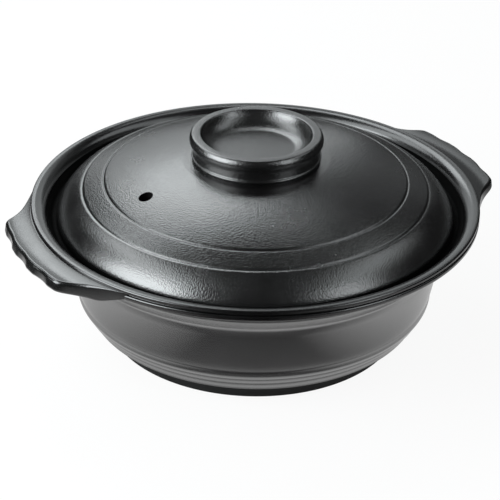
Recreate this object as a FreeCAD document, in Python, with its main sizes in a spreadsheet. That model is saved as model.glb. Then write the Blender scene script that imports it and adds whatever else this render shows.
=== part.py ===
import FreeCAD, Part

import enum
import math
import os

import Sketcher

# Donabe: a lidded clay pot for the open flame, in millimetres.
# The origin is the middle of the foot, +Z is up and the two ears lie along +X and -X.

SIZES = {
    # Lid, from its edge to its crown
    "lid_radius": 120.0,
    "lid_clearance": 2.5,
    "lid_edge_round": 1.2,
    "lid_edge_height": 5.8,
    "lid_seat_width": 9.5,
    "lid_lip_height": 2.0,
    "shoulder_width": 16.0,
    "crown_curve": 256.0,
    "crown_rise": 40.8,
    "lid_centre_wall": 6.5,
    "under_curve": 300.0,
    "under_shoulder_width": 22.0,
    "under_shoulder_curve": 21.0,
    # Two turned rings on the lid
    "ring_spacing": 12.8,
    "ring_tool_radius": 1.7,
    "ring_depth": 0.75,
    # Steam vent
    "vent_radius": 4.5,
    "vent_ring_gap": 16.2,
    "vent_angle": 184.0,
    "vent_bevel": 0.8,
    # Knob, a hollow spool that is also the foot of the upturned lid
    "knob_pad_radius": 44.0,
    "knob_neck_radius": 37.2,
    "knob_flange_radius": 38.9,
    "knob_flange_drop": 1.6,
    "knob_flange_round": 0.7,
    "knob_waist_curve": 6.0,
    "knob_bulge_height": 9.5,
    "knob_radius": 39.2,
    "knob_bulge_curve": 4.6,
    "knob_rim_step": 0.4,
    "knob_height": 16.0,
    "knob_rim_width": 5.7,
    "knob_rim_round": 0.7,
    "knob_cup_depth": 9.2,
    "knob_cup_floor_radius": 23.0,
    "knob_cup_curve": 14.0,
    # Pot rim, with the gallery that the lid sits in
    "pot_height": 85.0,
    "gallery_slope": 2.5,
    "seat_depth": 11.0,
    "seat_round": 2.5,
    "seat_overlap": 14.0,
    "ledge_round": 3.0,
    "rim_width": 10.0,
    "rim_inner_round": 0.8,
    "rim_round": 1.4,
    "rim_face": 2.2,
    "rim_groove_height": 1.2,
    "rim_groove_depth": 1.5,
    "collar_height": 3.6,
    "collar_top_round": 0.9,
    "collar_round": 1.8,
    # Pot wall, foot and inside
    "wall": 6.5,
    "flare_rise": 11.0,
    "flare_reach": 8.0,
    "flare_curve": 18.0,
    "neck_drop": 27.0,
    "wall_curve": 143.0,
    "belly_taper": 1.2,
    "belly_height": 45.0,
    "belly_curve": 48.0,
    "upper_band_height": 28.7,
    "middle_band_height": 22.0,
    "lower_band_height": 17.0,
    "band_curve": 9.0,
    "foot_height": 10.0,
    "glaze_step": 0.6,
    "foot_inset": 22.5,
    "foot_round": 1.5,
    "foot_ring_width": 12.0,
    "foot_recess": 2.0,
    "floor_thickness": 7.0,
    "floor_curve": 30.0,
    "heel_height": 34.0,
    "heel_inset": 3.4,
    # Ear handles
    "ear_reach": 15.2,
    "ear_draft": 1.4,
    "ear_thickness": 7.2,
    "ear_top_drop": 1.9,
    "ear_dish_curve": 26.0,
    "ear_inner_drop": 2.8,
    "ear_root_thickness": 10.5,
    "ear_half_angle": 28.8,
    "flank_curve": 61.0,
    "ear_end_thickness": 1.2,
    "ear_corner_round": 8.0,
    "ear_edge_bevel": 0.8,
    "flute_curve": 24.0,
    "flute_depth": 0.15,
    "flute_angle": 9.0,
    "lobe_round": 5.0,
    "ear_end_run": 24.0,
    "ear_end_drop": 11.0,
}

doc = FreeCAD.newDocument("Donabe")
sheet = doc.addObject("Spreadsheet::Sheet", "Sizes")
for row, (name, number) in enumerate(SIZES.items(), start=1):
    sheet.set(f"A{row}", name)
    sheet.set(f"B{row}", str(number))
    sheet.setAlias(f"B{row}", name)
doc.recompute()


class Size:
    """A number together with the sheet expression that gives it."""

    def __init__(self, value, text):
        self.value = value
        self.text = text

    def __add__(self, other):
        other = as_size(other)
        return Size(self.value + other.value, f"({self.text} + {other.text})")

    def __sub__(self, other):
        other = as_size(other)
        return Size(self.value - other.value, f"({self.text} - {other.text})")

    def __mul__(self, other):
        other = as_size(other)
        return Size(self.value * other.value, f"({self.text} * {other.text})")


def as_size(number):
    return number if isinstance(number, Size) else Size(number, str(number))


def root(amount):
    return Size(math.sqrt(amount.value), f"sqrt({amount.text})")


def cosine(angle):
    return Size(math.cos(math.radians(angle.value)), f"cos({angle.text})")


def sine(angle):
    return Size(math.sin(math.radians(angle.value)), f"sin({angle.text})")


def arc_height(curve, across):
    """Height over its centre of an arc of radius curve, at a distance across from the centre line."""
    return root(curve * curve - across * across)


class Sheet:
    """The driving sizes by name."""

    def __getattr__(self, name):
        return Size(float(sheet.get(name)), f"Sizes.{name}")


size = Sheet()
ZERO = as_size(0)

# Heights and radii that several pieces share
lid_bottom = size.pot_height - size.seat_depth
crown_top = lid_bottom + size.crown_rise
shoulder_radius = size.lid_radius - size.shoulder_width
inner_ring_radius = shoulder_radius - size.ring_spacing
vent_offset = inner_ring_radius - size.vent_ring_gap
seat_radius = size.lid_radius + size.lid_clearance
mouth_radius = seat_radius + size.gallery_slope
rim_radius = mouth_radius + size.rim_width
collar_top = size.pot_height - size.rim_face - size.rim_groove_height
collar_bottom = collar_top - size.collar_height
throat_radius = size.lid_radius - size.seat_overlap
neck_radius = throat_radius + size.wall
neck_height = size.pot_height - size.neck_drop
flare_radius = neck_radius + size.flare_reach
flare_height = neck_height + size.flare_rise


def crown_at(radius):
    return crown_top - size.crown_curve + arc_height(size.crown_curve, radius)


knob_base = crown_at(size.knob_pad_radius)


# Sketching: the axes of a sketch, which cross at its origin, and the places on its lines, arcs and circles

Axis = enum.IntEnum("Axis", {"ACROSS": -1, "UP": -2})
Place = enum.IntEnum("Place", ("START", "END", "CENTRE"))


def new_body(label):
    body = doc.addObject("PartDesign::Body", label)
    body.Label = label
    return body


def origin_feature(body, role):
    return next(feature for feature in body.Origin.OriginFeatures if feature.Role == role)


def new_sketch(body, name, role):
    sketch = body.newObject("Sketcher::SketchObject", name)
    sketch.AttachmentSupport = [(origin_feature(body, role), "")]
    sketch.MapMode = "FlatFace"
    return sketch


def constrain(sketch, kind, *where):
    return sketch.addConstraint(Sketcher.Constraint(kind, *where))


def dimension(sketch, kind, *where):
    """Adds a dimension whose last entry is a Size, bound to that size's expression."""
    *places, amount = where
    index = constrain(sketch, kind, *places, amount.value)
    sketch.setExpression(f"Constraints[{index}]", amount.text)


def hold_point(sketch, geometry, end, across, up):
    """Holds a point by its distances from the two sketch axes."""
    for kind, amount, axis in (("DistanceX", across, Axis.UP), ("DistanceY", up, Axis.ACROSS)):
        if amount is ZERO:
            constrain(sketch, "PointOnObject", geometry, end, axis)
        else:
            dimension(sketch, kind, Axis.ACROSS, Place.START, geometry, end, amount)


def vector(corner):
    return FreeCAD.Vector(corner[0].value, corner[1].value, 0)


def left_of(direction):
    return FreeCAD.Vector(-direction.y, direction.x, 0)


def arc_by_radius(start, finish, radius, side):
    """Centre of the arc from start to finish that has its centre on the given side of the way."""
    chord = finish - start
    rise = math.sqrt(radius ** 2 - (chord.Length / 2) ** 2)
    turn = 1 if side == "left" else -1
    return (start + finish) / 2 + left_of(chord).normalize() * rise * turn, turn


def arc_by_tangent(start, finish, heading):
    """Centre of the arc that leaves start along heading and ends at finish."""
    chord = finish - start
    normal = left_of(heading)
    reach = chord.dot(chord) / (2 * chord.dot(normal))
    return start + normal * reach, math.copysign(1, reach)


def draw_outline(sketch, corners):
    """Draws a closed outline.

    Each corner is (across, up) for a straight run to it, (across, up, curve, side) for an arc of that
    radius, or (across, up, "smooth") for an arc that is tangent to the run before it.
    """
    runs = []
    heading = None
    for before, corner in zip(corners[-1:] + corners[:-1], corners):
        start = vector(before)
        finish = vector(corner)
        if len(corner) == 2:
            geometry = sketch.addGeometry(Part.LineSegment(start, finish))
            runs.append((geometry, Place.START, Place.END, "Coincident"))
            heading = (finish - start).normalize()
            continue
        if len(corner) == 4:
            centre, turn = arc_by_radius(start, finish, corner[2].value, corner[3])
        else:
            centre, turn = arc_by_tangent(start, finish, heading)
        first, last = (start, finish) if turn > 0 else (finish, start)
        spokes = (first - centre, last - centre)
        circle = Part.Circle(centre, FreeCAD.Vector(0, 0, 1), spokes[0].Length)
        angles = [math.atan2(spoke.y, spoke.x) for spoke in spokes]
        geometry = sketch.addGeometry(Part.ArcOfCircle(circle, *angles))
        ends = (Place.START, Place.END) if turn > 0 else (Place.END, Place.START)
        runs.append((geometry, *ends, "Tangent" if len(corner) == 3 else "Coincident"))
        heading = left_of(finish - centre).normalize() * turn
    for (previous, _, previous_end, _), (geometry, start, _, joint) in zip(runs[-1:] + runs[:-1], runs):
        constrain(sketch, joint, previous, previous_end, geometry, start)
    for (geometry, _, end, _), corner in zip(runs, corners):
        hold_point(sketch, geometry, end, corner[0], corner[1])
        if len(corner) == 4:
            dimension(sketch, "Radius", geometry, corner[2])
    return sketch


def draw_circle(sketch, across, up, radius):
    centre = vector((across, up))
    geometry = sketch.addGeometry(Part.Circle(centre, FreeCAD.Vector(0, 0, 1), radius.value))
    hold_point(sketch, geometry, Place.CENTRE, across, up)
    dimension(sketch, "Radius", geometry, radius)


def turn_solid(body, name, sketch, angle=None, kind="PartDesign::Revolution"):
    """Turns a sketch on the XZ plane about the Z axis, or cuts the ring that it sweeps."""
    feature = body.newObject(kind, name)
    feature.Profile = sketch
    feature.ReferenceAxis = (sketch, ["V_Axis"])
    if angle is None:
        feature.Angle = 360
    else:
        feature.setExpression("Angle", angle.text)
        feature.Midplane = True
    doc.recompute()
    return feature


def cut_through(body, name, sketch):
    """Cuts a sketch on the XY plane through the body, both ways."""
    before = body.Shape.Volume
    pocket = body.newObject("PartDesign::Pocket", name)
    pocket.Profile = sketch
    pocket.Type = "ThroughAll"
    pocket.Midplane = True
    doc.recompute()
    assert pocket.Shape.Volume < before, f"{name} cuts nothing"
    return pocket


def mirror_cut(body, name, cut):
    """Repeats a cut on the other side of the XZ plane."""
    mirrored = body.newObject("PartDesign::Mirrored", name)
    mirrored.Originals = [cut]
    mirrored.MirrorPlane = (origin_feature(body, "XZ_Plane"), [""])
    body.Tip = mirrored
    doc.recompute()
    return mirrored


def round_edges(body, name, base, wanted, radius, kind="PartDesign::Fillet", amount="Radius"):
    """Fillets or chamfers the edges of the base feature that the test picks."""
    edges = [f"Edge{number}" for number, edge in enumerate(base.Shape.Edges, start=1) if wanted(edge)]
    assert edges, f"{name} finds no edge"
    feature = body.newObject(kind, name)
    feature.Base = (base, edges)
    feature.setExpression(amount, radius.text)
    doc.recompute()
    return feature


# Pot bowl: gallery rim, wall with turned bands, bare foot

def band_radius(height):
    """Outside of the lower wall, where the turned bands meet."""
    below = size.belly_height - height
    return neck_radius - size.belly_taper - size.belly_curve + arc_height(size.belly_curve, below)


def make_bowl():
    body = new_body("bowl")
    foot_radius = neck_radius - size.foot_inset
    foot_inside = foot_radius - size.foot_ring_width
    foot_top_radius = band_radius(size.foot_height)
    floor_height = size.foot_recess + size.floor_thickness
    heel_radius = throat_radius - size.heel_inset
    corners = [
        (ZERO, size.foot_recess),
        # Recessed base and the ring that it stands on
        (foot_inside - size.foot_recess, size.foot_recess),
        (foot_inside, ZERO),
        (foot_radius - size.foot_round, ZERO),
        (foot_radius, size.foot_round, size.foot_round, "left"),
        (foot_top_radius - size.glaze_step, size.foot_height),
        (foot_top_radius, size.foot_height + size.glaze_step),
    ]
    for height in (size.lower_band_height, size.middle_band_height, size.upper_band_height):
        corners.append((band_radius(height), height, size.band_curve, "left"))
    corners += [
        (neck_radius, neck_height, size.wall_curve, "left"),
        # Flare that carries the gallery, up to the collar
        (flare_radius, flare_height, size.flare_curve, "right"),
        (rim_radius - size.collar_round, collar_bottom),
        (rim_radius, collar_bottom + size.collar_round, size.collar_round, "left"),
        (rim_radius, collar_top - size.collar_top_round),
        (rim_radius - size.collar_top_round, collar_top, size.collar_top_round, "left"),
        # Fine groove between the collar and the rim
        (rim_radius - size.rim_groove_depth, collar_top),
        (rim_radius - size.rim_groove_depth, collar_top + size.rim_groove_height),
        (rim_radius, collar_top + size.rim_groove_height),
        (rim_radius, size.pot_height - size.rim_round),
        (rim_radius - size.rim_round, size.pot_height, size.rim_round, "left"),
        (mouth_radius + size.rim_inner_round, size.pot_height),
        (mouth_radius, size.pot_height - size.rim_inner_round, size.rim_inner_round, "left"),
        # Gallery wall and the ledge that the lid rests on
        (seat_radius, lid_bottom + size.seat_round),
        (seat_radius - size.seat_round, lid_bottom, size.seat_round, "right"),
        (throat_radius + size.ledge_round, lid_bottom),
        (throat_radius, lid_bottom - size.ledge_round, size.ledge_round, "left"),
        # Inside of the bowl
        (heel_radius, size.heel_height, "smooth"),
        (heel_radius - size.floor_curve, floor_height, "smooth"),
        (ZERO, floor_height),
    ]
    sketch = draw_outline(new_sketch(body, "BowlSection", "XZ_Plane"), corners)
    turn_solid(body, "BowlTurned", sketch)
    return body


# Lid: turned dome with two fine rings and a steam vent

def make_lid():
    body = new_body("lid")
    edge_top = lid_bottom + size.lid_edge_height
    under_radius = size.lid_radius - size.under_shoulder_width
    under_top = knob_base - size.lid_centre_wall
    lip_radius = size.lid_radius - size.lid_seat_width
    corners = [
        (ZERO, knob_base),
        # Flat pad for the knob, crown and shoulder
        (size.knob_pad_radius, knob_base),
        (shoulder_radius, crown_at(shoulder_radius), size.crown_curve, "right"),
        (size.lid_radius - size.lid_edge_round, edge_top, "smooth"),
        (size.lid_radius, edge_top - size.lid_edge_round, "smooth"),
        (size.lid_radius, lid_bottom + size.lid_edge_round),
        # Ring that rests on the ledge of the pot
        (size.lid_radius - size.lid_edge_round, lid_bottom, size.lid_edge_round, "right"),
        (lip_radius, lid_bottom),
        (lip_radius, lid_bottom + size.lid_lip_height),
        # Hollow underside
        (
            under_radius,
            under_top - size.under_curve + arc_height(size.under_curve, under_radius),
            size.under_shoulder_curve,
            "left",
        ),
        (ZERO, under_top, size.under_curve, "left"),
    ]
    sketch = draw_outline(new_sketch(body, "LidSection", "XZ_Plane"), corners)
    turn_solid(body, "LidTurned", sketch)

    rings = new_sketch(body, "RingSection", "XZ_Plane")
    lift = size.ring_tool_radius - size.ring_depth
    for radius in (shoulder_radius, inner_ring_radius):
        draw_circle(rings, radius, crown_at(radius) + lift, size.ring_tool_radius)
    before = body.Shape.Volume
    turned = turn_solid(body, "RingsTurned", rings, kind="PartDesign::Groove")
    assert turned.Shape.Volume < before, "the rings cut nothing"

    vent = new_sketch(body, "VentPlan", "XY_Plane")
    vent.AttachmentOffset = FreeCAD.Placement()
    vent.setExpression("AttachmentOffset.Rotation.Angle", size.vent_angle.text)
    draw_circle(vent, vent_offset, ZERO, size.vent_radius)
    drilled = cut_through(body, "VentDrilled", vent)
    mouth = crown_at(vent_offset).value - size.lid_centre_wall.value / 2

    def is_vent_mouth(edge):
        middle = edge.CenterOfMass
        near = abs(math.hypot(middle.x, middle.y) - vent_offset.value) < size.vent_radius.value / 2
        round_trip = abs(edge.Length - 2 * math.pi * size.vent_radius.value) < size.vent_radius.value
        return near and round_trip and middle.z > mouth

    round_edges(body, "VentBevel", drilled, is_vent_mouth, size.vent_bevel, "PartDesign::Chamfer", "Size")
    return body


# Knob: spool with a cupped top

def make_knob():
    body = new_body("knob")
    top = knob_base + size.knob_height
    cup_floor = top - size.knob_cup_depth
    flange_bottom = knob_base + size.knob_flange_drop
    flange_middle = flange_bottom + size.knob_flange_round
    flange_inside = size.knob_flange_radius - size.knob_flange_round
    rim_outside = size.knob_radius - size.knob_rim_step
    rim_inside = rim_outside - size.knob_rim_width
    corners = [
        (ZERO, knob_base),
        # Neck and lower flange
        (size.knob_neck_radius, knob_base),
        (flange_inside, flange_bottom),
        (size.knob_flange_radius, flange_middle, size.knob_flange_round, "left"),
        (flange_inside, flange_middle + size.knob_flange_round, size.knob_flange_round, "left"),
        # Hollow waist, then the rounded upper flange
        (size.knob_radius, knob_base + size.knob_bulge_height, size.knob_waist_curve, "right"),
        (size.knob_radius, top - size.knob_rim_step, size.knob_bulge_curve, "left"),
        (rim_outside, top),
        # Flat rim and the cup
        (rim_inside + size.knob_rim_round, top),
        (rim_inside, top - size.knob_rim_round, size.knob_rim_round, "left"),
        (size.knob_cup_floor_radius, cup_floor, size.knob_cup_curve, "right"),
        (ZERO, cup_floor),
    ]
    sketch = draw_outline(new_sketch(body, "KnobSection", "XZ_Plane"), corners)
    turn_solid(body, "KnobTurned", sketch)
    return body


# Ears: a dished plate that runs out into the collar, with finger flutes in its outer edge

def reach_of(edge):
    """Largest distance of the ends of an edge from the axis of the pot."""
    return max(math.hypot(vertex.X, vertex.Y) for vertex in edge.Vertexes)


def make_ear(label, turn):
    body = new_body(label)
    ear_top = size.pot_height - size.ear_top_drop
    ear_bottom = ear_top - size.ear_thickness
    outer = rim_radius + size.ear_reach
    root_bottom = ear_top - size.ear_root_thickness
    span = size.ear_half_angle * 2
    plate = draw_outline(new_sketch(body, label + "_plate_section", "XZ_Plane"), [
        (rim_radius, root_bottom),
        (outer + size.ear_draft, ear_bottom),
        (outer, ear_top),
        (rim_radius, size.pot_height - size.ear_inner_drop, size.ear_dish_curve, "right"),
    ])
    turn_solid(body, label + "_plate", plate, angle=span)

    flank = new_sketch(body, label + "_flank", "XY_Plane")
    flank_offset = rim_radius + size.ear_end_thickness + size.flank_curve
    draw_circle(
        flank,
        flank_offset * cosine(size.ear_half_angle),
        flank_offset * sine(size.ear_half_angle),
        size.flank_curve,
    )
    flanked = mirror_cut(body, label + "_flanks", cut_through(body, label + "_flank_cut", flank))

    def is_upright(edge):
        return edge.BoundBox.ZLength > size.ear_thickness.value / 2 and reach_of(edge) > outer.value

    round_edges(body, label + "_corners", flanked, is_upright, size.ear_corner_round)

    flutes = new_sketch(body, label + "_flutes", "XY_Plane")
    flute_offset = outer - size.flute_depth + size.flute_curve
    draw_circle(flutes, flute_offset, ZERO, size.flute_curve)
    cut_through(body, label + "_middle_flute", flutes)
    side_flute = new_sketch(body, label + "_side_flute", "XY_Plane")
    draw_circle(
        side_flute,
        flute_offset * cosine(size.flute_angle),
        flute_offset * sine(size.flute_angle),
        size.flute_curve,
    )
    fluted = mirror_cut(body, label + "_fluted", cut_through(body, label + "_side_cut", side_flute))
    outer_flute = (outer * sine(size.flute_angle)).value + size.flute_curve.value / 2

    def is_lobe(edge):
        return is_upright(edge) and abs(edge.CenterOfMass.y) < outer_flute

    lobed = round_edges(body, label + "_lobes", fluted, is_lobe, size.lobe_round)

    def is_outer_rim(edge):
        flat = edge.BoundBox.ZLength < size.ear_thickness.value / 2
        return flat and reach_of(edge) > rim_radius.value + size.ear_reach.value / 2

    round_edges(body, label + "_bevel", lobed, is_outer_rim, size.ear_edge_bevel, "PartDesign::Chamfer", "Size")

    # Root that fills the corner between the collar and the flare of the bowl
    filling = draw_outline(new_sketch(body, label + "_root_section", "XZ_Plane"), [
        (rim_radius, collar_bottom + size.collar_round),
        (rim_radius - size.collar_round, collar_bottom, size.collar_round, "right"),
        (flare_radius, flare_height),
        (rim_radius, root_bottom),
    ])
    turn_solid(body, label + "_root", filling, angle=span)

    # Both ends of the root rise to the underside of the collar
    end = new_sketch(body, label + "_end", "YZ_Plane")
    end_reach = (rim_radius + size.ear_end_thickness) * sine(size.ear_half_angle)
    end_foot = collar_bottom - size.ear_end_drop
    draw_outline(end, [
        (end_reach, collar_bottom),
        (end_reach - size.ear_end_run, end_foot),
        (end_reach, end_foot),
    ])
    mirror_cut(body, label + "_ends", cut_through(body, label + "_end_cut", end))
    body.Placement = FreeCAD.Placement(FreeCAD.Vector(), FreeCAD.Rotation(FreeCAD.Vector(0, 0, 1), turn))
    return body


pieces = [
    make_bowl(),
    make_ear("right_ear", 0),
    make_ear("left_ear", 180),
    make_lid(),
    make_knob(),
]
doc.recompute()

for item in doc.Objects:
    assert not {"Invalid", "Error"} & set(item.State), f"{item.Label}: {item.State}"
for piece in pieces:
    assert not piece.Shape.isNull() and piece.Shape.isValid(), f"{piece.Label} has no valid shape"
    assert len(piece.Shape.Solids) == 1, f"{piece.Label} is not one solid"

os.makedirs("parts", exist_ok=True)
for piece in pieces:
    piece.Shape.exportStep(f"parts/{piece.Label}.step")
    print(f"{piece.Label}: {piece.Shape.Volume / 1000:.1f} cm3")
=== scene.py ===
"""Donabe clay pot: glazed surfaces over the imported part, in millimetres until a mesh is made."""

import math

import bpy
import numpy as np
from mathutils import Matrix, Vector


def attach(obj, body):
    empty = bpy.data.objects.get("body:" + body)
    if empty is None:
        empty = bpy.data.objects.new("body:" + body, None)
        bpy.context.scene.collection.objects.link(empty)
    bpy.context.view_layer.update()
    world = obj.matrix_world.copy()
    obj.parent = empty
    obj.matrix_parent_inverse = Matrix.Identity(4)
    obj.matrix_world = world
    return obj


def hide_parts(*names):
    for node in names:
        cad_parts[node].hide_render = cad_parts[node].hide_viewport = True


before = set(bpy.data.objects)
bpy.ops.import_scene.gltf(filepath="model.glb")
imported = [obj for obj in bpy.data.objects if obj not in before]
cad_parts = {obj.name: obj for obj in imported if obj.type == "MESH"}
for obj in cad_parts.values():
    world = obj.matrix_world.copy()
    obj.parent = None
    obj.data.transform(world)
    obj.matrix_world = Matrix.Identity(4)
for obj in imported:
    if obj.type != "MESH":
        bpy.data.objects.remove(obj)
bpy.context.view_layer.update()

# Fineness of the meshes
MM = 0.001
TURNS = 384
DRILL_TURNS = 96
STEP = 0.6
STRAIGHT_STEP = STEP * 3
RING_STEP = 0.15
DISH_STEP = 0.2
LEAST_ARC_STEPS = 4
LARGEST_BEND = 0.14
SHARP_EDGE = 40.0
EAR_SHARP_EDGE = 50.0

# Corner of an outline: radius, height, then "soft" and a round, or the radius and side of an arc to it

# Lid
LID_RADIUS = 120.0
LID_BOTTOM = 74.0
CROWN_CURVE = 256.0
CROWN_TOP = 114.8
CROWN_WALL = 6.5
SHOULDER_RADIUS = 104.0
SHOULDER_GAP = 0.2
LID_EDGE = [
    (118.43, 80.38, 33.4, "right"),
    (LID_RADIUS, 75.1, 9.7, "right"),
    (LID_RADIUS, LID_BOTTOM, "soft", 0.6),
    (110.5, LID_BOTTOM, "soft", 0.5),
    (110.5, 76.0),
    (98.0, 88.0, 21.0, "left"),
]
LID_HOLLOW_CURVE = 300.0
RING_RADII = (91.2, 104.0)
RING_WIDTH = 0.65
RING_DEPTH = 0.5
RING_REACH = 2.4
RING_LEAST_HEIGHT = 85.0
VENT_RADIUS = 4.3
VENT_OFFSET = 75.0
VENT_ANGLE = math.radians(184.0)
DRILL_BOTTOM = 60.0
DRILL_TOP = CROWN_TOP + 5.0

# Knob, with heights from the pad that it stands on
KNOB_PAD = 44.0
KNOB_OUTLINE = [
    (0, 0),
    (37.2, 0),
    (38.2, 1.6),
    (38.9, 2.3, 0.7, "left"),
    (38.2, 3.0, 0.7, "left"),
    (37.9, 3.6, 0.76, "right"),
    (37.9, 6.5),
    (39.2, 9.9, 4.83, "right"),
    (39.15, 15.1, 4.6, "left"),
    (37.7, 16.0, 1.7, "left"),
    (34.2, 16.0),
    (33.0, 14.9, 1.2, "left"),
    (23.0, 6.8, 14.0, "right"),
    (0, 6.8),
]

# Pot
POT_HEIGHT = 85.0
RIM_RADIUS = 134.98
RIM_ROUND = 0.9
RIM_CREST = 132.4
RIM_INNER = 125.3
RIM_CURVE = 8.8
RIM_CURVE_END = 78.4
COLLAR_TOP = 81.6
COLLAR_BOTTOM = 78.0
COLLAR_LOWER_ROUND = 1.8
COLLAR_UPPER_ROUND = 0.9
GROOVE_DEPTH = 1.5
GROOVE_WIDTH = 1.2
GROOVE_ROUND = 0.3
GROOVE_LIP_ROUND = 0.35
FLARE_OUTLINE = [(115.2, 61.7, 14.0, "right"), (120.85, 69.5)]
NECK_RADIUS = 112.5
NECK_HEIGHT = 53.5
WALL_CURVE = 143.0
BELLY_HEIGHT = 45.0
BELLY_CURVE = 48.0
BELLY_TAPER = 1.2
RIBS = ((17.0, 0.0), (22.0, 0.6), (28.7, 0.0))
RIB_CURVE = 6.0
FOOT_TOP = 10.0
FOOT_STEP = 0.7
FOOT_STEP_ROUND = 0.25
FOOT_OUTLINE = [(0, 2.0), (76.0, 2.0, "soft", 0.8), (78.0, 0, "soft", 0.6), (90.0, 0, "soft", 1.4)]
INSIDE_OUTLINE = [
    (122.5, LID_BOTTOM, "soft", 2.5),
    (106.0, LID_BOTTOM, "soft", 3.0),
    (102.6, 34.0),
    (72.6, 9.0, 30.0, "right"),
    (0, 9.0),
]

# Ears
EAR_HALF_ANGLE = math.radians(28.8)
EAR_RUN_OUT = math.radians(31.0)
EAR_RUN_OUT_START = 0.86 * EAR_HALF_ANGLE
EAR_TOP = 83.1
EAR_OUTER_TOP = 150.2
EAR_OUTER_BOTTOM = 151.6
EAR_DISH_CURVE = 26.0
EAR_INNER_TOP = 83.2
EAR_ROOT_BOTTOM = 72.6
EAR_ROOT_INNER = 119.5
EAR_ROOT_INNER_BOTTOM = 68.6
EAR_BOTTOM = 75.9
EAR_EDGE_ROUND = 1.9
EAR_EDGE_SHARE = 1 / 3
EAR_LEAST_SPREAD = 0.3
EAR_LEAST_HEIGHT = 1.5
EAR_SINK = 1.2
EAR_SINK_DROP = 0.4
EAR_END_SINK = 0.4
EAR_END_REACH = 136.2 * math.sin(EAR_HALF_ANGLE)
UNDER_SLANT = 11.0 / 24.0
UNDER_BLEND = 1.5
UNDER_AIM = 0.4
FLANK_CURVE = 61.0
FLANK_GAP = 1.2
FLANK_BLEND = 4.0
FLUTE_CURVE = 24.0
FLUTE_OFFSET = 174.05
FLUTE_ANGLES = (-9.0, 0.0, 9.0)
FLUTE_BLEND = 0.5
FLARE_INSIDE = 119.5
FLARE_HEIGHT = 69.0
FLARE_SLOPE = 12.7 / 9.0
EAR_ROWS = 361
EAR_TOP_SHARES = np.linspace(0, 1, 22)[:-1]
EAR_UNDER_SHARES = np.linspace(0.1, 1, 10)
EAR_ROOT_SHARES = np.linspace(0.1, 1, 8)
EAR_EDGE_POINTS = 8
OUT_OF_REACH = 1e3

# Where one glaze ends and the next begins; the bare clay of the vent, the lid's lower edge and the lid's
# seat is made dark and dull as painted shade in the vent and the gap under the lid
GLAZE, WALL, FOOT, SEAT = range(4)
LID_BARE_SHADE_RADIUS = LID_RADIUS - 2
LID_BARE_SHADE_TOP = 78.2
VENT_BARE_SHADE_RADIUS = VENT_RADIUS + 0.02
VENT_UPRIGHT = 0.2
FOOT_BARE_TOP = 10.2
WALL_MARGIN = 2.0
SEAT_BOTTOM = LID_BOTTOM - 1
SEAT_TOP = RIM_CURVE_END + 1

# Clouds in the glazes
CLOUD_SCALE = 38.0
CLOUD_DETAIL = 5.0
CLOUD_ROUGHNESS = 0.6
COLOUR_PLACES = (0.35, 0.68)
DULL_PLACES = (0.3, 0.7)
LESS_DULL = 0.03
MORE_DULL = 0.04
GRAIN_DETAIL = 2.0
GRAIN_ROUGHNESS = 0.5

# Camera, in metres and degrees, with pixels of the square frame
CAMERA_AZIMUTH = -28.0
CAMERA_ELEVATION = 27.512
CAMERA_DISTANCE = 1.0868
CAMERA_ROLL = math.radians(1.096)
CAMERA_SENSOR = 36.0
CAMERA_CLIP = 0.05
FRAME_SIDE = 500.0
FOCAL_PIXELS = 1800.0
AXIS_RIGHT = 5.528
AXIS_UP = 54.384

# Lamps: name, azimuth from the camera, elevation, distance, width, height and brightness of the face
LAMPS = (
    ("left_box", -63, 19, 1.0, 0.82, 0.74, 7.2),
    ("left_top", -88, 50, 1.1, 1.30, 0.45, 3.1),
    ("right_box", 54, 22, 1.1, 0.46, 0.80, 2.7),
    ("right_top", 92, 50, 1.2, 1.00, 0.45, 1.4),
    ("back_box", -158, 45, 1.0, 0.42, 0.60, 3.4),
    ("back_top", 178, 60, 1.0, 0.50, 0.14, 2.5),
    ("back_wall", -172, 20, 0.85, 0.68, 0.54, 0.95),
    ("back_side", 156, 22, 0.85, 0.36, 0.50, 0.18),
)
LAMP_COLOUR = (0.935, 0.985, 1.0)
LAMP_AIM_HEIGHT = 0.07

# Table top, in metres: a painted reflection, a glow that only the glaze mirrors, bright near the pot and
# faded by distance from the pot's axis or to its side
TABLE_SIDE = 2.5
TABLE_GREY = 0.9
TABLE_ROUGHNESS = 0.9
TABLE_WHITE = 0.92
NEAR_PAINTED_GLOW = (
    (0.098, 0.35), (0.106, 1.0), (0.112, 1.0), (0.12, 0.8), (0.128, 0.20), (0.19, 0.12), (0.25, 0.01),
)
SIDE_PAINTED_GLOW_SHIFT = 0.5
SIDE_PAINTED_GLOW = ((0.35, 1.0), (0.46, 0.0), (0.54, 0.0), (0.65, 1.0))
FAR_PAINTED_GLOW = ((0.21, 1.0), (0.32, 0.04))
WHITE = (1, 1, 1, 1)
ROOM_STRENGTH = 0.03


# Outlines

def arc_points(start, end, radius, side, step=STEP):
    """Points after start, up to end, on an arc with its centre to the left or right of the way."""
    a, b = np.array(start, float), np.array(end, float)
    sign = 1 if side == "left" else -1
    chord = b - a
    length = np.hypot(*chord)
    half = min(1.0, length / 2 / radius)
    normal = np.array([-chord[1], chord[0]]) / length * sign
    centre = (a + b) / 2 + normal * radius * math.sqrt(1 - half * half)
    first = math.atan2(*(a - centre)[::-1])
    sweep = 2 * math.asin(half)
    count = max(LEAST_ARC_STEPS, math.ceil(sweep * radius / step), math.ceil(sweep / LARGEST_BEND))
    angles = first + sign * sweep * np.arange(1, count + 1) / count
    return [tuple(centre + radius * np.array([math.cos(t), math.sin(t)])) for t in angles]


def soft_corner(before, corner, after, radius):
    """Two ends of the round that replaces a corner, and its side."""
    p, q, r = (np.array(v, float) for v in (before, corner, after))
    back, on = p - q, r - q
    back, on = back / np.hypot(*back), on / np.hypot(*on)
    opening = math.acos(max(-1.0, min(1.0, float(back @ on))))
    reach = radius / math.tan(opening / 2)
    side = "left" if -back[0] * on[1] + back[1] * on[0] > 0 else "right"
    return tuple(q + back * reach), tuple(q + on * reach), side


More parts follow.
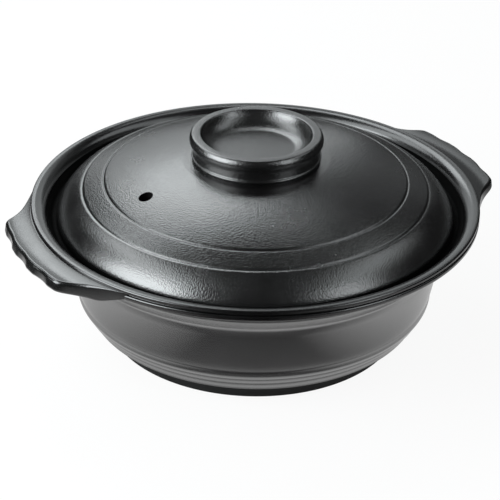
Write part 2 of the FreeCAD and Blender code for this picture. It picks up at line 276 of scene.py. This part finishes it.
def outline(corners):
    """Dense line through the corners, with their rounds and arcs."""
    rounded = []
    for index, corner in enumerate(corners):
        if len(corner) == 4 and corner[2] == "soft":
            before, after = corners[index - 1][:2], corners[index + 1][:2]
            first, last, side = soft_corner(before, corner[:2], after, corner[3])
            rounded += [first, (*last, corner[3], side)]
        else:
            rounded.append(corner)
    points = [rounded[0][:2]]
    for corner in rounded[1:]:
        start = points[-1]
        if len(corner) == 4:
            points += arc_points(start, corner[:2], corner[2], corner[3])
            continue
        way = np.array(corner) - start
        count = max(1, math.ceil(math.hypot(*way) / STRAIGHT_STEP))
        points += [tuple(np.array(start) + way * k / count) for k in range(1, count + 1)]
    return points


def resample(points, count):
    """The same line with a fixed number of points."""
    line = np.array(points)
    along = np.concatenate([[0], np.cumsum(np.hypot(*np.diff(line, axis=0).T))])
    wanted = np.linspace(0, along[-1], count)
    return list(zip(np.interp(wanted, along, line[:, 0]), np.interp(wanted, along, line[:, 1])))


def crown_at(radius):
    """Height of the lid's crown."""
    return CROWN_TOP - CROWN_CURVE + math.sqrt(CROWN_CURVE ** 2 - radius ** 2)


def belly_at(height):
    """Radius of the bowl's lower wall."""
    below = BELLY_HEIGHT - height
    return NECK_RADIUS - BELLY_TAPER - BELLY_CURVE + math.sqrt(BELLY_CURVE ** 2 - below ** 2)


# Meshes

def new_object(name, vertices, faces, sharp=SHARP_EDGE):
    mesh = bpy.data.meshes.new(name)
    mesh.from_pydata((np.array(vertices) * MM).tolist(), [], faces)
    mesh.validate()
    mesh.shade_smooth()
    mesh.set_sharp_from_angle(angle=math.radians(sharp))
    piece = bpy.data.objects.new(name, mesh)
    bpy.context.scene.collection.objects.link(piece)
    return piece


def turned(name, points, turns=TURNS):
    """Solid turned about the upright axis from a line whose two ends are on it."""
    inner = points[1:-1]
    angles = np.arange(turns) * 2 * math.pi / turns
    vertices = [(0, 0, points[0][1])]
    for radius, height in inner:
        vertices += [(radius * math.cos(t), radius * math.sin(t), height) for t in angles]
    vertices.append((0, 0, points[-1][1]))
    last = len(vertices) - 1
    top = 1 + (len(inner) - 1) * turns
    faces = []
    for k in range(turns):
        n = (k + 1) % turns
        faces.append((0, 1 + n, 1 + k))
        for low in range(1, top, turns):
            high = low + turns
            faces.append((low + k, low + n, high + n, high + k))
        faces.append((top + k, top + n, last))
    return new_object(name, vertices, faces)


# Bowl

def make_bowl():
    foot_top = belly_at(FOOT_TOP)
    corners = FOOT_OUTLINE + [
        (foot_top - FOOT_STEP, FOOT_TOP, "soft", FOOT_STEP_ROUND),
        (foot_top, FOOT_TOP + FOOT_STEP),
    ]
    for height, swell in RIBS:
        corners.append((belly_at(height) + swell, height, RIB_CURVE, "left"))
    corners += [
        (NECK_RADIUS, NECK_HEIGHT, WALL_CURVE, "left"),
        *FLARE_OUTLINE,
        (RIM_RADIUS - COLLAR_LOWER_ROUND, COLLAR_BOTTOM),
        (RIM_RADIUS, COLLAR_BOTTOM + COLLAR_LOWER_ROUND, COLLAR_LOWER_ROUND, "left"),
        (RIM_RADIUS, COLLAR_TOP - COLLAR_UPPER_ROUND),
        (RIM_RADIUS - COLLAR_UPPER_ROUND, COLLAR_TOP, COLLAR_UPPER_ROUND, "left"),
        (RIM_RADIUS - GROOVE_DEPTH, COLLAR_TOP, "soft", GROOVE_ROUND),
        (RIM_RADIUS - GROOVE_DEPTH, COLLAR_TOP + GROOVE_WIDTH, "soft", GROOVE_ROUND),
        (RIM_RADIUS, COLLAR_TOP + GROOVE_WIDTH, "soft", GROOVE_LIP_ROUND),
        (RIM_RADIUS, POT_HEIGHT, "soft", RIM_ROUND),
        (RIM_CREST, POT_HEIGHT),
        (RIM_INNER, RIM_CURVE_END, RIM_CURVE, "left"),
        *INSIDE_OUTLINE,
    ]
    return turned("bowl_glazed", outline(corners))


# Lid

def lid_outline():
    """Line from the knob's pad over the crown and round the edge to the hollow below, with its rings."""
    base = crown_at(KNOB_PAD)
    spacing = [KNOB_PAD]
    while spacing[-1] < SHOULDER_RADIUS - SHOULDER_GAP:
        near_ring = min(abs(spacing[-1] - ring) for ring in RING_RADII) < RING_REACH
        spacing.append(spacing[-1] + (RING_STEP if near_ring else STEP))
    crown = [(r, crown_at(r)) for r in spacing]
    shoulder = (SHOULDER_RADIUS, crown_at(SHOULDER_RADIUS))
    hollow = (0, base - CROWN_WALL, LID_HOLLOW_CURVE, "left")
    grooved = []
    for radius, height in [(0, base)] + crown + outline([shoulder, *LID_EDGE, hollow]):
        for ring in RING_RADII:
            away = radius - ring
            if abs(away) < RING_REACH and height > RING_LEAST_HEIGHT:
                height -= RING_DEPTH * math.exp(-(away / RING_WIDTH) ** 2)
        grooved.append((radius, height))
    return grooved


def make_lid():
    lid = turned("lid_glazed", lid_outline()[::-1])
    drill = turned("vent_drill", outline([
        (0, DRILL_BOTTOM), (VENT_RADIUS, DRILL_BOTTOM), (VENT_RADIUS, DRILL_TOP), (0, DRILL_TOP),
    ]), DRILL_TURNS)
    offset = VENT_OFFSET * MM
    drill.location = (offset * math.cos(VENT_ANGLE), offset * math.sin(VENT_ANGLE), 0)
    cut = lid.modifiers.new("vent", "BOOLEAN")
    cut.object = drill
    cut.operation = "DIFFERENCE"
    cut.solver = "EXACT"
    bpy.context.view_layer.update()
    evaluated = lid.evaluated_get(bpy.context.evaluated_depsgraph_get())
    drilled = bpy.data.meshes.new_from_object(evaluated)
    lid.modifiers.clear()
    lid.data = drilled
    drilled.shade_smooth()
    drilled.set_sharp_from_angle(angle=math.radians(SHARP_EDGE))
    bpy.data.objects.remove(drill)
    return lid


# Knob

def make_knob():
    base = crown_at(KNOB_PAD)
    corners = [(radius, base + height, *arc) for radius, height, *arc in KNOB_OUTLINE]
    return turned("knob_glazed", outline(corners))


# Ears

def soft_least(a, b, width):
    """Lesser of two values, with a round of the given width where they cross."""
    blend = max(0.0, 1.0 - abs(a - b) / width)
    return min(a, b) - blend * blend * width / 4


def circle_near(angle, offset, radius):
    """Near side of a circle whose centre is at this offset and angle away, along a ray from the axis."""
    under = radius ** 2 - (offset * math.sin(angle)) ** 2
    return offset * math.cos(angle) - math.sqrt(under) if under > 0 else OUT_OF_REACH


def ear_reach(angle, outer):
    """Outside of the ear, along a ray at this angle from its middle."""
    reach = outer
    for flute in FLUTE_ANGLES:
        scoop = circle_near(angle - math.radians(flute), FLUTE_OFFSET, FLUTE_CURVE)
        reach = soft_least(reach, scoop, FLUTE_BLEND)
    away = min(abs(angle), EAR_HALF_ANGLE)
    flank = circle_near(EAR_HALF_ANGLE - away, RIM_RADIUS + FLANK_GAP + FLANK_CURVE, FLANK_CURVE)
    reach = soft_least(reach, flank, FLANK_BLEND)
    ending = max(0.0, (abs(angle) - EAR_RUN_OUT_START) / (EAR_RUN_OUT - EAR_RUN_OUT_START))
    return reach + (RIM_RADIUS - EAR_END_SINK - reach) * ending ** 2


def ear_lifted(height, radius, angle):
    """Height of the ear's underside, lifted where the slant towards the ear's ends is higher."""
    slant = COLLAR_BOTTOM - UNDER_SLANT * (EAR_END_REACH - radius * abs(math.sin(angle)))
    return -soft_least(-height, -slant, UNDER_BLEND)


def ear_under(radius, angle):
    """Height of the ear's underside outside the collar."""
    slope = (EAR_BOTTOM - EAR_ROOT_BOTTOM) / (EAR_OUTER_BOTTOM - RIM_RADIUS)
    return ear_lifted(EAR_ROOT_BOTTOM + slope * (radius - RIM_RADIUS), radius, angle)


def ear_section(angle, dish_at):
    """Closed line of the ear on one ray: dish, outer edge, underside and root, as (radius, height)."""
    high, low = ear_reach(angle, EAR_OUTER_TOP), ear_reach(angle, EAR_OUTER_BOTTOM)
    top = dish_at(high)
    bottom = min(ear_under(low, angle), top - EAR_LEAST_HEIGHT)
    spread = max(EAR_LEAST_SPREAD, high - RIM_RADIUS)
    edge = min(EAR_EDGE_ROUND, spread * EAR_EDGE_SHARE, (top - bottom) * EAR_EDGE_SHARE)
    section = [(RIM_RADIUS - EAR_SINK, EAR_INNER_TOP - EAR_SINK_DROP)]
    for share in EAR_TOP_SHARES:
        radius = RIM_RADIUS + share * (high - edge - RIM_RADIUS)
        section.append((radius, dish_at(radius)))
    inward = RIM_RADIUS + (low - RIM_RADIUS) * UNDER_AIM
    upper, lower = (high, top), (low, bottom)
    for before, corner, after in (
        (section[-1], upper, lower),
        (upper, lower, (inward, ear_under(inward, angle))),
    ):
        first, last, side = soft_corner(before, corner, after, edge)
        section += [first] + resample(arc_points(first, last, edge, side), EAR_EDGE_POINTS)
    for share in EAR_UNDER_SHARES:
        radius = last[0] + share * (RIM_RADIUS - last[0])
        section.append((radius, ear_under(radius, angle)))
    for share in EAR_ROOT_SHARES:
        radius = RIM_RADIUS + share * (EAR_ROOT_INNER - RIM_RADIUS)
        line = EAR_ROOT_BOTTOM + share * (EAR_ROOT_INNER_BOTTOM - EAR_ROOT_BOTTOM)
        height = ear_lifted(line, radius, angle)
        inside = FLARE_INSIDE + (height - FLARE_HEIGHT) * FLARE_SLOPE
        section.append((max(radius, inside), height))
    return section


def make_ear(name, turn):
    start, end = (RIM_RADIUS, EAR_INNER_TOP), (EAR_OUTER_TOP, EAR_TOP)
    dish = np.array([start] + arc_points(start, end, EAR_DISH_CURVE, "left", DISH_STEP))

    def dish_at(radius):
        return float(np.interp(radius, dish[:, 0], dish[:, 1]))

    vertices = []
    for angle in np.linspace(-EAR_RUN_OUT, EAR_RUN_OUT, EAR_ROWS):
        section = ear_section(angle, dish_at)
        vertices += [(r * math.cos(angle), r * math.sin(angle), z) for r, z in section]
    count = len(section)
    last_row = len(vertices) - count
    faces = []
    for row in range(0, last_row, count):
        for k in range(count):
            n = (k + 1) % count
            faces.append((row + k, row + n, row + count + n, row + count + k))
    faces.append(tuple(range(count - 1, -1, -1)))
    faces.append(tuple(range(last_row, len(vertices))))
    ear = new_object(name, vertices, faces, EAR_SHARP_EDGE)
    ear.data.transform(Matrix.Rotation(turn, 4, "Z"))
    return ear


# Nodes

def add_node(tree, kind, **inputs):
    node = tree.nodes.new(kind)
    for key, value in inputs.items():
        node.inputs[key].default_value = value
    return node


def ramp(tree, source, stops):
    """Grey over a source value; stops are (place, grey)."""
    node = tree.nodes.new("ShaderNodeValToRGB")
    elements = node.color_ramp.elements
    while len(elements) < len(stops):
        elements.new(0.5)
    for element, (place, grey) in zip(elements, stops):
        element.position = place
        element.color = (grey, grey, grey, 1)
    tree.links.new(source, node.inputs["Fac"])
    return node.outputs["Color"]


def worked(tree, kind, operation, first, second=None):
    """Value of a maths node; the second input is a socket, a number, a vector or nothing."""
    node = tree.nodes.new(kind)
    node.operation = operation
    tree.links.new(first, node.inputs[0])
    if isinstance(second, bpy.types.NodeSocket):
        tree.links.new(second, node.inputs[1])
    elif second is not None:
        node.inputs[1].default_value = second
    return node.outputs["Value"]


def mixed(tree, share, first, second):
    """Mix of two shaders by a share."""
    node = tree.nodes.new("ShaderNodeMixShader")
    for socket, source in zip(node.inputs, (share, first, second)):
        tree.links.new(source, socket)
    return node.outputs["Shader"]


# Glazes

def glaze(name, dark, light, roughness, grain, grain_height, index):
    """Glaze with a fine grain, soft clouds in its colour and duller patches."""
    material = bpy.data.materials.new(name)
    material.use_nodes = True
    tree = material.node_tree
    shader = tree.nodes["Principled BSDF"]
    place = tree.nodes.new("ShaderNodeTexCoord").outputs["Object"]
    clouds = add_node(
        tree, "ShaderNodeTexNoise", Scale=CLOUD_SCALE, Detail=CLOUD_DETAIL, Roughness=CLOUD_ROUGHNESS,
    )
    fine = add_node(
        tree, "ShaderNodeTexNoise", Scale=grain, Detail=GRAIN_DETAIL, Roughness=GRAIN_ROUGHNESS,
    )
    for texture in (clouds, fine):
        tree.links.new(place, texture.inputs["Vector"])
    colour = ramp(tree, clouds.outputs["Fac"], list(zip(COLOUR_PLACES, (dark, light))))
    tree.links.new(colour, shader.inputs["Base Color"])
    dullness = (roughness - LESS_DULL, roughness + MORE_DULL)
    dull = ramp(tree, clouds.outputs["Fac"], list(zip(DULL_PLACES, dullness)))
    tree.links.new(dull, shader.inputs["Roughness"])
    bump = add_node(tree, "ShaderNodeBump", Strength=1.0, Distance=grain_height * MM)
    tree.links.new(fine.outputs["Fac"], bump.inputs["Height"])
    tree.links.new(bump.outputs["Normal"], shader.inputs["Normal"])
    shader.inputs["IOR"].default_value = index
    return material


def bare_and_shaded_lid(lid, shade_clay):
    """Bare clay in the vent and round the lower edge of the lid, made dark and dull: painted shade in
    the vent and in the gap by the rim.
    """
    lid.data.materials.append(shade_clay)
    vent = Vector((math.cos(VENT_ANGLE), math.sin(VENT_ANGLE))) * VENT_OFFSET
    for face in lid.data.polygons:
        middle = face.center / MM
        upright = abs(face.normal.z) < VENT_UPRIGHT
        in_vent = (middle.xy - vent).length < VENT_BARE_SHADE_RADIUS and upright
        at_edge = middle.xy.length > LID_BARE_SHADE_RADIUS and middle.z < LID_BARE_SHADE_TOP
        face.material_index = int(in_vent or at_edge)


def glaze_bowl(bowl, *others):
    """Wall glaze, clay of the foot, and clay of the lid's seat on the bowl, made dark and dull as
    painted shade in the gap under the lid.
    """
    for other in others:
        bowl.data.materials.append(other)
    wall_inside = belly_at(FOOT_BARE_TOP) - WALL_MARGIN
    for face in bowl.data.polygons:
        middle = face.center / MM
        outward = face.normal.xy.dot(face.center.xy) > 0
        index = GLAZE
        if middle.z < FOOT_BARE_TOP:
            index = FOOT
        elif middle.z < COLLAR_BOTTOM and outward and middle.xy.length > wall_inside:
            index = WALL
        # Painted shade: the inner faces of the lid's seat take the dark, dull clay.
        elif SEAT_BOTTOM < middle.z < SEAT_TOP and not outward:
            index = SEAT
        face.material_index = index


lid_glaze = glaze(
    "lid_glaze", dark=0.003, light=0.006, roughness=0.24, grain=1000.0, grain_height=0.18, index=2.05,
)
pot_glaze = glaze(
    "pot_glaze", dark=0.002, light=0.004, roughness=0.22, grain=800.0, grain_height=0.03, index=1.8,
)
wall_glaze = glaze(
    "wall_glaze", dark=0.006, light=0.010, roughness=0.17, grain=800.0, grain_height=0.02, index=2.6,
)
foot_clay = glaze(
    "foot_clay", dark=0.004, light=0.009, roughness=0.80, grain=500.0, grain_height=0.12, index=1.35,
)
# Bare clay made darker and duller than the glaze: painted shade in the vent and in the gap between lid
# and bowl.
seat_shade_clay = glaze(
    "seat_shade_clay", dark=0.002, light=0.004, roughness=0.70, grain=500.0, grain_height=0.10, index=1.12,
)

bowl = make_bowl()
lid = make_lid()
knob = make_knob()
right_ear = make_ear("right_ear_glazed", 0.0)
left_ear = make_ear("left_ear_glazed", math.pi)
for piece, node, body, slot, material in (
    (bowl, "bowl", "pot", "pot_glaze", pot_glaze),
    (right_ear, "right_ear", "pot", "pot_glaze", pot_glaze),
    (left_ear, "left_ear", "pot", "pot_glaze", pot_glaze),
    (lid, "lid", "cover", "lid_glaze", lid_glaze),
    (knob, "knob", "cover", "lid_glaze", lid_glaze),
):
    piece.data.materials.clear()
    piece.data.materials.append(material)
    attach(piece, body)
    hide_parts(node)
bare_and_shaded_lid(lid, seat_shade_clay)
glaze_bowl(bowl, wall_glaze, foot_clay, seat_shade_clay)


# Studio

def direction(azimuth, elevation):
    """Unit vector from the pot; azimuth 0 is the front, and it grows towards the right."""
    a, e = math.radians(azimuth), math.radians(elevation)
    return Vector((math.sin(a) * math.cos(e), -math.cos(a) * math.cos(e), math.sin(e)))


def aim(thing, place, target):
    """Stand a camera or lamp at a place, upright, facing the target."""
    back = (place - target).normalized()
    right = Vector((0, 0, 1)).cross(back).normalized()
    turn = Matrix((right, back.cross(right), back)).transposed().to_4x4()
    thing.matrix_world = Matrix.Translation(place) @ turn


def make_camera():
    lens = bpy.data.cameras.new("camera")
    lens.sensor_width = CAMERA_SENSOR
    lens.lens = CAMERA_SENSOR * FOCAL_PIXELS / FRAME_SIDE
    lens.shift_x = -AXIS_RIGHT / FRAME_SIDE
    lens.shift_y = -AXIS_UP / FRAME_SIDE
    lens.clip_start = CAMERA_CLIP
    camera = bpy.data.objects.new("camera", lens)
    bpy.context.scene.collection.objects.link(camera)
    target = Vector((0, 0, POT_HEIGHT * MM))
    aim(camera, target + direction(CAMERA_AZIMUTH, CAMERA_ELEVATION) * CAMERA_DISTANCE, target)
    camera.matrix_world = camera.matrix_world @ Matrix.Rotation(CAMERA_ROLL, 4, "Z")
    bpy.context.scene.camera = camera


def softbox(name, azimuth, elevation, distance, width, height, brightness):
    """Area light at a direction from the camera's side, aimed at the pot."""
    light = bpy.data.lights.new(name, "AREA")
    light.shape = "RECTANGLE"
    light.size, light.size_y = width, height
    light.color = LAMP_COLOUR
    light.energy = brightness * math.pi * width * height
    lamp = bpy.data.objects.new(name, light)
    bpy.context.scene.collection.objects.link(lamp)
    middle = Vector((0, 0, LAMP_AIM_HEIGHT))
    aim(lamp, middle + direction(CAMERA_AZIMUTH + azimuth, elevation) * distance, middle)


def make_painted_glow_paper(right):
    """White to the camera with the pot's shadow; to the glaze, a painted reflection: a glow that is
    bright near the pot and fades with the distance.
    """
    painted_glow_paper = bpy.data.materials.new("painted_glow_paper")
    painted_glow_paper.use_nodes = True
    tree = painted_glow_paper.node_tree
    shader = tree.nodes["Principled BSDF"]
    shader.inputs["Base Color"].default_value = (TABLE_GREY, TABLE_GREY, TABLE_GREY, 1)
    shader.inputs["Roughness"].default_value = TABLE_ROUGHNESS
    rays = tree.nodes.new("ShaderNodeLightPath").outputs
    glow = add_node(tree, "ShaderNodeEmission", Color=WHITE, Strength=1.0)
    share = worked(tree, "ShaderNodeMath", "MULTIPLY", rays["Is Camera Ray"], TABLE_WHITE)
    lit = mixed(tree, share, shader.outputs["BSDF"], glow.outputs["Emission"])
    place = tree.nodes.new("ShaderNodeTexCoord").outputs["Object"]
    around = worked(tree, "ShaderNodeVectorMath", "LENGTH", place)
    across = worked(tree, "ShaderNodeVectorMath", "DOT_PRODUCT", place, right)
    shifted = worked(tree, "ShaderNodeMath", "ADD", across, SIDE_PAINTED_GLOW_SHIFT)
    side, far = ramp(tree, shifted, SIDE_PAINTED_GLOW), ramp(tree, around, FAR_PAINTED_GLOW)
    sides = worked(tree, "ShaderNodeMath", "MULTIPLY", side, far)
    painted_glow_strength = worked(tree, "ShaderNodeMath", "MAXIMUM", ramp(tree, around, NEAR_PAINTED_GLOW), sides)
    # Painted reflection: glossy rays see this glow in place of the lit table, bright near the pot and at
    # its sides.
    painted_reflection = add_node(tree, "ShaderNodeEmission", Color=WHITE)
    tree.links.new(painted_glow_strength, painted_reflection.inputs["Strength"])
    surface = mixed(tree, rays["Is Glossy Ray"], lit, painted_reflection.outputs["Emission"])
    tree.links.new(surface, tree.nodes["Material Output"].inputs["Surface"])
    return painted_glow_paper


def make_floor():
    front, right = direction(CAMERA_AZIMUTH, 0), direction(CAMERA_AZIMUTH + 90, 0)
    corners = (front - right, front + right, right - front, -right - front)
    mesh = bpy.data.meshes.new("floor")
    mesh.from_pydata([corner * TABLE_SIDE for corner in corners], [], [(0, 1, 2, 3)])
    mesh.materials.append(make_painted_glow_paper(right))
    floor = bpy.data.objects.new("floor", mesh)
    bpy.context.scene.collection.objects.link(floor)
    return floor


def make_world():
    """White backdrop to the camera, dim room to the glaze."""
    world = bpy.data.worlds.new("studio")
    bpy.context.scene.world = world
    world.use_nodes = True
    tree = world.node_tree
    room = tree.nodes["Background"]
    room.inputs["Color"].default_value = WHITE
    room.inputs["Strength"].default_value = ROOM_STRENGTH
    backdrop = add_node(tree, "ShaderNodeBackground", Color=WHITE, Strength=1.0)
    rays = tree.nodes.new("ShaderNodeLightPath").outputs
    seen = mixed(
        tree, rays["Is Camera Ray"], room.outputs["Background"], backdrop.outputs["Background"],
    )
    tree.links.new(seen, tree.nodes["World Output"].inputs["Surface"])


make_camera()
for lamp in LAMPS:
    softbox(*lamp)
make_floor()
make_world()
bpy.context.scene.view_settings.view_transform = "Standard"
